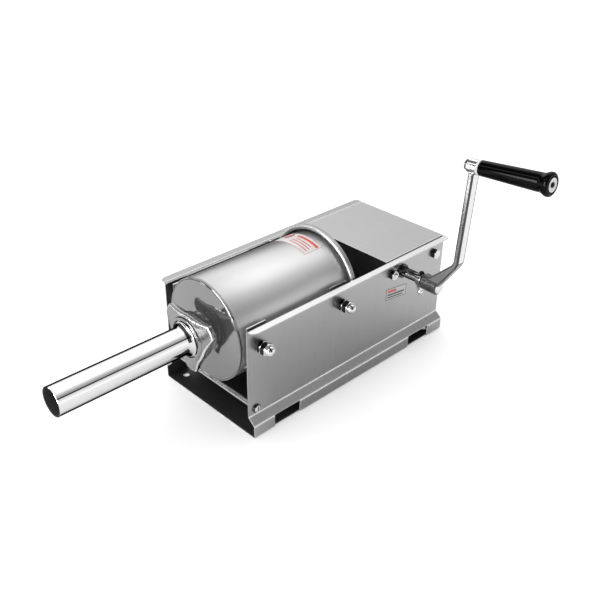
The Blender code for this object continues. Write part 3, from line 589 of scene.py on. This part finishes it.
def barrel_rim():
    """The rolled rim at the rear: a rounded bead outside a narrow groove."""
    low, high = span("barrel_rim", 0)
    at = centre("barrel_rim")
    radius, rim_r = outer_radius("barrel_tube"), outer_radius("barrel_rim")
    groove = radius + 2.7
    rim = [(low + 4.9, radius + 0.3), (low + 4.9, groove), (low + 1.6, groove), (low + 0.4, groove + 1.2),
           (low, groove + 2.6), (low, rim_r - 3.6), (low + 0.5, rim_r - 1.6), (low + 1.8, rim_r - 0.3),
           (low + 3.4, rim_r), (high - 1.8, rim_r), (high, rim_r - 1.6), (high, radius + 0.3)]
    profile, mats = eased(shifted(rim, at.x / MM), 1.2, 4, True), [RIM, GROOVE, BEND]
    piece = turned("barrel_rim_piece", "barrel_rim", profile, mats, X, at, 160, True, 40)
    # The groove's faces take a painted shade, near black, and the bead's outer rounding a painted highlight.
    for polygon in piece.data.polygons:
        reach = reach_of(polygon)
        dark = reach < groove + 0.2 and polygon.center.z < 0.004
        outer = rim_r - 1.9 < reach < rim_r - 0.2 and polygon.normal.z < -0.2
        polygon.material_index = 1 if dark else 2 if outer else 0


def nozzle():
    """The tube, which widens to a flange, and the gasket behind it. flare and seat are where, along X, the tube
    starts to widen and the flange's front is."""
    at = centre("nozzle")
    low, high = span("nozzle", 0)
    tube, wall, flange, neck = 18.8, 1.2, outer_radius("nozzle"), 23.3
    flare, seat = -231.0, -218.7
    profile = [(low, tube - wall + 0.35), (low, tube - 0.35), (low + 0.4, tube)]
    profile += [(flare + 9.2 * math.sin(a), tube + 4.5 * (1 - math.cos(a))) for a in arc(0, 90, 9)]
    profile += [(flare + 10, neck), (seat, neck), (seat, flange - 0.4), (seat + 0.4, flange), (high, flange)]
    profile += [(high, 21.4), (flare + 13, 20.8), (flare + 9, 18.6), (flare + 3, tube - wall)]
    profile += [(low + 0.5, tube - wall)]
    profile, mats = shifted(profile, at.x / MM), [NOZZLE, BORE]
    piece = turned("nozzle_piece", "nozzle", profile, mats, X, at, 160, True, 28)
    # Inward faces take the painted dark shade.
    for face in piece.data.polygons:
        inward = Vector((face.center.x, face.center.y, 0)).dot(face.normal) < 0
        if inward and abs(face.normal.z) < 0.8:
            face.material_index = 1
    at = centre("nozzle_gasket")
    low, high = span("nozzle_gasket", 0)
    half = (high - low) / 2
    profile = eased([(-half, 19.0), (-half, 26.0), (half, 26.0), (half, 19.0)], 0.5, 3, True)
    turned("nozzle_gasket_piece", "nozzle_gasket", profile, RUBBER, X, at, 96, True)


# Half a lobe of the ring nut, as (degrees from the tip, radius).
LOBE = ((0, 50.6), (8.8, 50.2), (11.0, 48.8), (14.5, 45.2), (21, 40.2), (31, 35.8), (42, 33.4), (60, 32.6))


def lobe_radius(angle):
    """Outline of the ring nut: three lobes with broad tips and hollow sides. angle is about +X, from +Z."""
    third = math.tau / 3
    degrees = math.degrees(abs(angle % third - third / 2))
    for (a0, r0), (a1, r1) in zip(LOBE, LOBE[1:]):
        if degrees <= a1:
            return r0 + (r1 - r0) * (degrees - a0) / (a1 - a0)
    return LOBE[-1][1]


def ring_nut():
    """The casting that holds the nozzle on. face and rear are where, along X, its lobes start and end, and slope
    is how much they lean back towards their tips."""
    at = centre("nozzle")
    front, back = span("ring_nut", 0)
    middle = (front + back) / 2
    at.x = middle * MM
    face, rear, slope, hub = -219.0, -208.2, 0.22, 29.5

    def outer(inset):
        return lambda angle: lobe_radius(angle) - inset

    def sloped(inset, back=0.0):
        return lambda angle: face + slope * (lobe_radius(angle) - inset - hub) + back - middle

    bore, neck, shoulder = 24.9, 27.6, -218.6
    rings = [(front + 0.4, bore), (front, 25.3), (front, 28.6), (front + 0.4, 29.1), (face, 29.6)]
    rings = shifted(rings, middle)
    rings += [(sloped(2.2), outer(2.2)), (sloped(2.2, 0.6), outer(0.8)), (sloped(2.2, 1.8), outer(0.0))]
    behind = [(rear - 1.4, outer(0.0)), (rear - 0.5, outer(0.5)), (rear, outer(1.5)), (rear, 31.0)]
    behind += [(back - 0.4, 31.0), (back, 30.6), (back, 28.0), (back - 0.6, neck)]
    behind += [(shoulder, neck), (shoulder, bore)]
    rings += shifted(behind, middle)
    mats = [CAST, CAST_EDGE, CAST_SHADE, GROOVE]
    around = 360
    piece = turned("ring_nut_piece", "ring_nut", rings, mats, X, at, around, True, 40)
    # Painted light and shade on one casting: the bore takes a painted shade, near black; rings 5 and 6, the
    # lobes' front edge, a painted highlight; the back edges of the lobes and everything behind them a painted
    # shade.
    for polygon in piece.data.polygons:
        ring = polygon.index // around
        under = ring in (8, 9) and polygon.normal.x < 0.25
        if reach_of(polygon) < bore + 0.1:
            polygon.material_index = 3
        elif ring in (5, 6):
            polygon.material_index = 1
        else:
            polygon.material_index = 2 if under or ring > 9 else 0


def shade_flats(piece, least_r=0.0):
    """The flats of a hexagon take the second material, a painted shade, and its ends keep the first."""
    for polygon in piece.data.polygons:
        polygon.material_index = int(abs(polygon.normal.z) < 0.3 and reach_of(polygon) > least_r)


M10_FLATS, M8_FLATS = 16, 13


def stud_nuts():
    """M10 nuts on the saddles' studs: a thin one against the panel, and a domed one over the end."""
    bore, radius, hex_end = 5.3, 7.3, 7.6
    # The flats take a painted shade and the ends and domes stay bright.
    two = [CHROME, CHROME_SHADE]
    for end in ("front", "rear"):
        for where, side in (("near", -1), ("far", 1)):
            node = f"jam_nut_{end}_{where}"
            low, high = span(node, 1)
            thick = high - low
            rings = [(0.0, bore)] + hex_rings(M10_FLATS, 0, thick) + [(thick, bore + 0.6), (thick - 0.5, bore)]
            at = centre(node) - Y * side * thick / 2 * MM
            shade_flats(turned(node + "_piece", node, rings, two, Y * side, at, 96, True))
            node = f"acorn_nut_{end}_{where}"
            low, high = span(node, 1)
            base = high - low - radius
            dome = [(base + radius * math.sin(a), radius * math.cos(a)) for a in arc(0, 81, 9)]
            rings = [(12.0, 0), (12.0, bore), (0.0, bore)] + hex_rings(M10_FLATS, 0, hex_end)
            rings += [(hex_end, radius + 0.1), (hex_end + 0.4, radius)] + dome[:-1] + [(dome[-1][0], 0)]
            face = low if side > 0 else high
            at = Vector((centre(node).x, face * MM, centre(node).z))
            shade_flats(turned(node + "_piece", node, rings, two, Y * side, at, 96), 7.5)


def gear_bolts():
    """The long M8 bolts through the gear space, with their nuts and spacer tubes."""
    head = 5.3
    for end in ("front", "rear"):
        node = f"gear_bolt_{end}"
        low, high = span(node, 1)
        rings = [(low, 0), (low, 4.6), (low + 0.12, 4.8)]
        rings += hex_rings(M8_FLATS, low, low + head, True, False)
        rings += [(low + head, 4.0), (high - 0.8, 4.0), (high, 3.3), (high, 0)]
        at = Vector((centre(node).x, 0, centre(node).z))
        # The head's flats take a painted shade.
        shade_flats(turned(node + "_piece", node, rings, [CHROME, CHROME_SHADE], Y, at))
        node = f"gear_nut_{end}"
        low, high = span(node, 1)
        rings = [(low, 4.3)] + hex_rings(M8_FLATS, low, high) + [(high, 5.0), (high - 0.7, 4.3)]
        turned(node + "_piece", node, rings, CHROME, Y, at, 96, True)
        for where in ("near", "far"):
            node = f"spacer_{end}_{where}"
            low, high = span(node, 1)
            profile = eased([(low, 4.35), (low, 5.4), (high, 5.4), (high, 4.35)], 0.2, 2, True)
            turned(node + "_piece", node, profile, BRIGHT, Y, at, 48, True)


def block(size, height):
    """A cutter of this size, its middle at this height on the axis."""
    bm = bmesh.new()
    bmesh.ops.create_cube(bm, size=1.0)
    bmesh.ops.scale(bm, vec=size, verts=bm.verts)
    bmesh.ops.translate(bm, vec=(0, 0, height), verts=bm.verts)
    return bm


def carve(piece, cutter):
    """Cuts a piece at once and removes the cutter."""
    step = piece.modifiers.new("carve", "BOOLEAN")
    step.operation = "DIFFERENCE"
    step.object = cutter
    step.solver = "EXACT"
    bpy.context.view_layer.update()
    evaluated = piece.evaluated_get(bpy.context.evaluated_depsgraph_get())
    mesh = bpy.data.meshes.new_from_object(evaluated)
    piece.modifiers.clear()
    piece.data = mesh
    bpy.data.objects.remove(cutter)
    mesh.shade_smooth()
    mesh.set_sharp_from_angle(angle=math.radians(32))


def tie_rod():
    """The rod across the front, and the slotted screws at its ends."""
    at = centre("tie_rod")
    low, high = span("tie_rod", 1)
    profile = [(low + 12, 0), (low + 12, 2.8), (low, 2.8), (low, 3.6), (low + 0.4, 4.0), (high - 0.4, 4.0),
               (high, 3.6), (high, 2.8), (high - 12, 2.8), (high - 12, 0)]
    turned("tie_rod_piece", "tie_rod", profile, BRIGHT, Y, at, 64)
    for where, side in (("near", -1), ("far", 1)):
        node = "tie_screw_" + where
        low, high = span(node, 1)
        length = high - low
        face = length - 3.6
        dome = [(face + 0.5 + 3.1 * math.sin(a), 6.2 * math.cos(a)) for a in arc(0, 80, 8)]
        profile = [(0, 0), (0, 2.2), (0.4, 2.5), (face, 2.5), (face, 6.1)] + dome + [(length, 0)]
        at = Vector((centre(node).x, (low if side > 0 else high) * MM, centre(node).z))
        screw = place(node + "_piece", spin_bm(profile, 64), [CHROME, CHROME_SHADE], at, Y * side, 30)
        slot = block((1.2, 14.0, 3.0), length + 0.1)
        carve(screw, place(node + "_slot_cutter", slot, CHROME_SHADE, at, Y * side))
        # The screws' rims and shanks take the painted shade on chrome, and their domes stay bright.
        for polygon in screw.data.polygons:
            polygon.material_index = int(reach_of(polygon) > 5.0 or polygon.center.z / MM < length - 1.0)
        stand_for(screw, node)


def sheets():
    """The sheet metal keeps its CAD shape, in painted copies of one steel. Faces turned towards the middle of
    the chassis, and the gear cover's front wall, take a painted shade, dark; the near panel's inner face and the
    saddles a lighter painted shade. The narrow faces at bends and cut edges on the near side, and strips along
    the near slope, the skirt and the cover top's edge, take a painted highlight. The near flange and the
    saddles' tops and ends are a lighter copy, painted light, and the far flange a darker one, painted shade."""
    outside, inside, flange, flange_far, bend, inside_near = range(6)
    chassis_mats = [PANEL, INSIDE, FLANGE, FLANGE_FAR, BEND, INSIDE_NEAR]
    panel_y, top_z, flare_z, pan_z, middle_z = 83.0, 150, 45, 30, 70.0

    def chassis_side(face):
        at, normal = face.calc_center_median(), face.normal
        narrow = 0.1 < normal.z < 0.74 or abs(normal.x) > 0.9
        narrow = narrow and abs(at.y) > 60 and face.calc_area() < 2500
        if normal.z > 0.9 and at.z > top_z and at.y > 0:
            return flange_far
        if normal.z > 0.1 and at.z > top_z:
            return flange
        if narrow and at.y < 0 and at.z < top_z:
            return bend
        if at.y < 0 and at.z > flare_z:
            return inside_near if normal.y > 0.5 else outside
        inwards = Vector((0, -at.y, middle_z - at.z)).dot(normal) > 0
        enclosed = (abs(at.y) < panel_y or at.z < pan_z) and abs(normal.x) < 0.5
        return inside if inwards and enclosed else outside

    def near_slope(face):
        return face.normal.y < -0.5 and face.normal.z > 0.3 and face.calc_area() > 500

    def near_skirt(face):
        return face.normal.y < -0.9 and face.calc_center_median().y < -85 and face.calc_area() > 500

    def upwards(face):
        return int(face.normal.z > 0.7 or abs(face.normal.x) > 0.9)

    def front_wall(face):
        return int(face.normal.x < -0.5)

    def cover_top(face):
        return face.normal.z > 0.9 and face.calc_area() > 5000

    # The borders along the near slope and the skirt take the painted bend highlight.
    refined("chassis", chassis_mats, 0.3, pick=chassis_side,
            borders=[(near_slope, 0.5, bend), (near_skirt, 0.5, bend)])
    # The cover's front wall takes the painted inside shade, and a strip round its top's edge the painted bend
    # highlight.
    refined("gear_cover", [COVER, INSIDE, BEND], 0.3, pick=front_wall,
            borders=[(cover_top, 0.8, 2)])
    refined("rear_panel", [PANEL], 0.3)
    for side in ("near", "far"):
        refined("gear_plate_" + side, [PANEL], 0.3)
        for end in ("front", "rear"):
            # The saddles' tops and ends take the lighter flange copy, painted light, and their other faces the
            # painted inside shade.
            refined(f"saddle_{end}_{side}", [INSIDE_NEAR, FLANGE], 0.1, pick=upwards)


def gears():
    """Gears, rack and bearings: their CAD shapes with eased edges, or turned."""
    refined("rack", [RACK], 0.15, smooth=30)
    refined("rack_guide", [WHITE], 0.4)
    for node in ("drive_pinion", "main_gear", "rack_pinion"):
        refined(node, [GEARS], 0.15, smooth=30)
    refined("crank_bush", [BUSH], 0.2)
    for node in ("crank_bush_inner", "layshaft_bush_near", "layshaft_bush_far"):
        refined(node, [BRONZE], 0.2)
    at = centre("layshaft")
    low, high = span("layshaft", 1)
    half = (high - low) / 2
    profile = [(-half, 0), (-half, 6.2), (-half + 0.8, 7.0), (half - 0.8, 7.0), (half, 6.2), (half, 0)]
    turned("layshaft_piece", "layshaft", profile, GEARS, Y, at, 64)


def piston():
    refined("piston_disc", [PLATE], 0.2)
    refined("piston_seal", [RUBBER], 0.2)
    for node in ("piston_bolt", "air_valve", "air_valve_nut"):
        refined(node, [BRIGHT], 0.2)


def crank_shaft():
    low, high = span("crank_shaft", 1)
    profile = [(low, 0), (low, 6.0), (low + 0.9, 7.0), (high, 7.0), (high, 0)]
    profile = shifted(profile, (low + high) / 2)
    # The shaft's chrome is painted dark, as a painted dark reflection.
    turned("crank_shaft_piece", "crank_shaft", profile, SHAFT, Y, centre("crank_shaft"), 64)


def crank_collar():
    """The collar on the shaft, with the screws that go into it."""
    at = centre("crank_collar")
    low, high = span("crank_collar", 1)
    half = (high - low) / 2
    collar = eased([(-half, 7.3), (-half, 9.6), (half, 9.6), (half, 7.3)], 1.0, 4, True)
    # The collar's chrome is painted dark, as a painted dark reflection.
    turned("crank_collar_piece", "crank_collar", collar, COLLAR, Y, at, 72, True)
    low, high = span("lock_screw", 2)
    at = centre("lock_screw")
    at.z = high * MM
    length = high - low
    dome, head = length - 4.6, 4.2
    profile = [(0, 0), (0, 2.2), (0.3, 2.5), (length - 7.0, 2.5), (length - 6.8, 3.9), (length - 6.2, head)]
    profile += [(dome, head)] + [(dome + 4.6 * math.sin(a), head * math.cos(a)) for a in arc(10, 80, 10)]
    profile += [(length, 0)]
    turned("lock_screw_piece", "lock_screw", profile, CHROME, -Z, at, 64)
    low, high = span("lock_nut", 2)
    at = centre("lock_nut")
    half = (high - low) / 2
    rings = [(-half, 2.8)] + hex_rings(10, -half, half)
    turned("lock_nut_piece", "lock_nut", rings, CHROME, Z, at, 96, True)
    low, high = span("collar_set_screw", 2)
    at = centre("collar_set_screw")
    half = (high - low) / 2
    top = half - 0.5
    profile = [(-half, 0), (-half, 2.5), (half - 2.2, 2.5), (half - 2.2, 3.6), (top - 0.4, 3.6), (top, 3.3)]
    profile += [(half, 2.6), (half, 1.3), (half - 1.2, 1.1), (half - 1.2, 0)]
    turned("collar_set_screw_piece", "collar_set_screw", profile, BLACK, Z, at, 64)


def crank_arm():
    """The casting keeps its CAD shape, in painted copies of one chrome. Its front and eye take a painted
    highlight and its side facing -X a lighter painted copy; its long edges are rounded and, with strips along
    the front and side faces' borders, take a painted dark edge; the boss, but for its front, and the part below
    the elbow are darker copies, painted shade.
    """
    cast, highlight, dark_edge, boss, long_side, low_arm = range(6)
    mats = [ARM, ARM_HIGHLIGHT, ARM_EDGE, BOSS, ARM_SIDE, ARM_LOW]
    shaft = centre("crank_shaft") / MM
    boss_r, low_z, front_z, eye_z = 14, 175, 190, 298

    def arm_side(face):
        at, normal = face.calc_center_median(), face.normal
        if at.z > eye_z:
            return highlight
        if math.hypot(at.x - shaft.x, at.z - shaft.z) < boss_r:
            return highlight if normal.y < -0.9 else boss
        if normal.y < -0.3 and abs(normal.x) > 0.3:
            return dark_edge
        if at.z < low_z:
            return low_arm
        if normal.x < -0.9:
            return long_side
        return highlight if normal.y < -0.97 and at.z > front_z else cast

    def broad(face, lowest):
        return lowest < face.calc_center_median().z < eye_z and face.calc_area() > 300

    def front_strip(face):
        return face.normal.y < -0.97 and broad(face, front_z)

    def left_strip(face):
        return face.normal.x < -0.97 and broad(face, low_z)

    refined("crank_arm", mats, 0.4, pick=arm_side,
            borders=[(front_strip, 1.1, dark_edge), (left_strip, 0.7, dark_edge)])


GRIP_TILT = math.radians(4.6)
GRIP_EYE = (0.0984, -0.177, 0.3145)


def grip():
    """The grip and its spindle, tilted upwards. Their profiles are measured outwards from the arm's eye."""
    out, eye = Vector((0, -math.cos(GRIP_TILT), math.sin(GRIP_TILT))), Vector(GRIP_EYE)

    profile = [(-11.5, 0), (-11.5, 3.4), (-10.9, 4.0), (102.6, 4.0), (102.8, 0)]
    turned("grip_spindle_piece", "grip_spindle", profile, BRIGHT, out, eye, 64)
    rings = [(0, 4.3)] + hex_rings(M8_FLATS, 0, 3.6) + [(3.6, 4.9), (3.1, 4.3)]
    turned("spindle_nut_piece", "spindle_nut", rings, CHROME, -out, eye - out * 7.8 * MM, 96, True)
    ring = eased([(7.3, 4.3), (7.3, 10.0), (10.3, 10.0), (10.3, 4.3)], 0.6, 3, True)
    settle(turned("grip_ferrule_piece", "grip_ferrule", ring, WHITE, out, eye, 96, True))
    start, end = 10.6, 106.6
    flare, thin, wider = start + 83, 11.7, 3.1
    body = [(start, 4.3), (start, 9.2), (start + 0.7, 9.8), (flare - 2, 11.75), (flare - 1, 11.55)]
    body += [(flare, thin)]
    body += [(flare + 9.3 * t, thin + wider * (3 * t * t - 2 * t ** 3)) for t in (i / 8 for i in range(1, 9))]
    body += [(end - 2.4, 14.7), (end - 1.2, 14.1), (end - 0.3, 13.0), (end, 11.9), (end, 10.6)]
    body += [(end - 0.6, 10.4), (end - 2.6, 10.4), (end - 2.6, 4.3)]
    settle(turned("grip_piece", "grip", body, BLACK, out, eye, 128, True, 30))
    disc = [(end - 2.3, 0), (end - 2.3, 10.1), (end - 0.5, 10.1), (end + 0.1, 9.4), (end + 0.2, 8.6)]
    disc += [(end - 0.1, 5.0), (end - 0.4, 4.5), (end - 0.5, 3.5), (end + 0.4, 3.3), (end + 0.9, 2.7)]
    disc += [(end + 1.0, 1.6), (end + 1.0, 0)]
    cap = place("grip_end_disc_piece", spin_bm(disc, 96), [WHITE, BLACK], eye, out, 32)
    carve(cap, place("end_disc_slot_cutter", block((1.1, 8.0, 2.0), end + 1.2), WHITE, eye, out))
    for polygon in cap.data.polygons:
        polygon.material_index = int(reach_of(polygon) < 3.4 or reach_of(polygon) > 8.7)
    settle(cap)
    stand_for(cap, "grip_end_disc")


def sticker(name, patches, place_at):
    """Thin films laid on a surface. patches are (left, right, low, high, material, height) in the label's own
    lengths, and place_at(u, v, height) gives the point in millimetres."""
    bm = bmesh.new()
    mats = []
    for left, right, low, high, mat, lift in patches:
        if mat not in mats:
            mats.append(mat)
        steps = max(1, int((high - low) / 2))
        rows = []
        for i in range(steps + 1):
            v = low + (high - low) * i / steps
            corners = ((left, 0), (left, lift), (right, lift), (right, 0))
            rows.append([bm.verts.new(place_at(u, v, height)) for u, height in corners])
        quads = []
        for a, b in zip(rows, rows[1:]):
            quads += [bm.faces.new((a[k], a[(k + 1) % 4], b[(k + 1) % 4], b[k])) for k in range(4)]
        quads += [bm.faces.new(rows[0][::-1]), bm.faces.new(rows[-1])]
        for face in quads:
            face.material_index = mats.index(mat)
    piece = place(name, bm, mats, (0, 0, 0), smooth=20)
    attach(piece, "chassis")
    return piece


def framed(width, height, line, mat, lift):
    """A plain outline."""
    return [(0, width, 0, line, mat, lift), (0, width, height - line, height, mat, lift),
            (0, line, line, height - line, mat, lift), (width - line, width, line, height - line, mat, lift)]


def oval(u, v, half_u, half_v, mat, lift, strips=10):
    """An oval badge, as strips laid side by side."""
    step = 2 * half_v / strips
    made = []
    for i in range(strips):
        low = v - half_v + i * step
        reach = half_u * math.sqrt(1 - ((low + step / 2 - v) / half_v) ** 2)
        made.append((u - reach, u + reach, low, low + step, mat, lift))
    return made


def barrel_label():
    """A blank sticker round the top of the barrel, with plain bars where the printing would be."""
    radius, axis_z, rear, start = 70.03, centre("barrel_tube").z / MM, -9.5, math.radians(23)
    wide, around, film, ink = 32.7, 62.7, 0.06, 0.10

    def on_barrel(u, v, lift):
        turn = start - v / radius
        r = radius + lift
        return Vector((rear - u, -r * math.sin(turn), axis_z + r * math.cos(turn)))

    marks = [(0, wide, 0, around, LABEL_FILM, film)] + framed(wide, around, 0.45, LABEL_RED, ink)
    marks += [(4.6, 9.4, 1.8, 40.5, LABEL_RED, ink), (13.6, 15.4, 7.6, 35.5, LABEL_RED, ink)]
    marks += [(18.9, 20.7, 5.2, 38.0, LABEL_RED, ink), (24.4, 26.2, 4.4, 38.0, LABEL_RED, ink)]
    marks += oval(12.0, 51.5, 9.5, 5.5, LABEL_GREY, ink) + oval(13.0, 51.5, 7.0, 4.2, LABEL_RED, ink + 0.03)
    sticker("barrel_label", marks, on_barrel)


def panel_label():
    """A blank sticker on the near panel under the crank, set a little askew."""
    left, low, slant, panel_y = 65.9, 94.6, -0.13, -81.42
    wide, tall, film, ink = 43.9, 17.6, 0.06, 0.10

    def on_panel(u, v, lift):
        return Vector((left + u, panel_y - lift, low + v + slant * u))

    marks = [(0, wide, 0, tall, LABEL_CLEAR, film)] + framed(wide, tall, 0.8, LABEL_INK, ink)
    marks += [(3, 22, 11.2, 14.8, LABEL_RED, ink), (3, 40, 6.6, 8.8, LABEL_INK, ink)]
    marks += [(3, 36, 2.8, 4.6, LABEL_INK, ink)]
    sticker("panel_label", marks, on_panel)


camera()
floor()
light()
barrel_tube()
barrel_front()
barrel_rim()
nozzle()
ring_nut()
stud_nuts()
gear_bolts()
tie_rod()
sheets()
gears()
piston()
crank_shaft()
crank_collar()
crank_arm()
grip()
barrel_label()
panel_label()
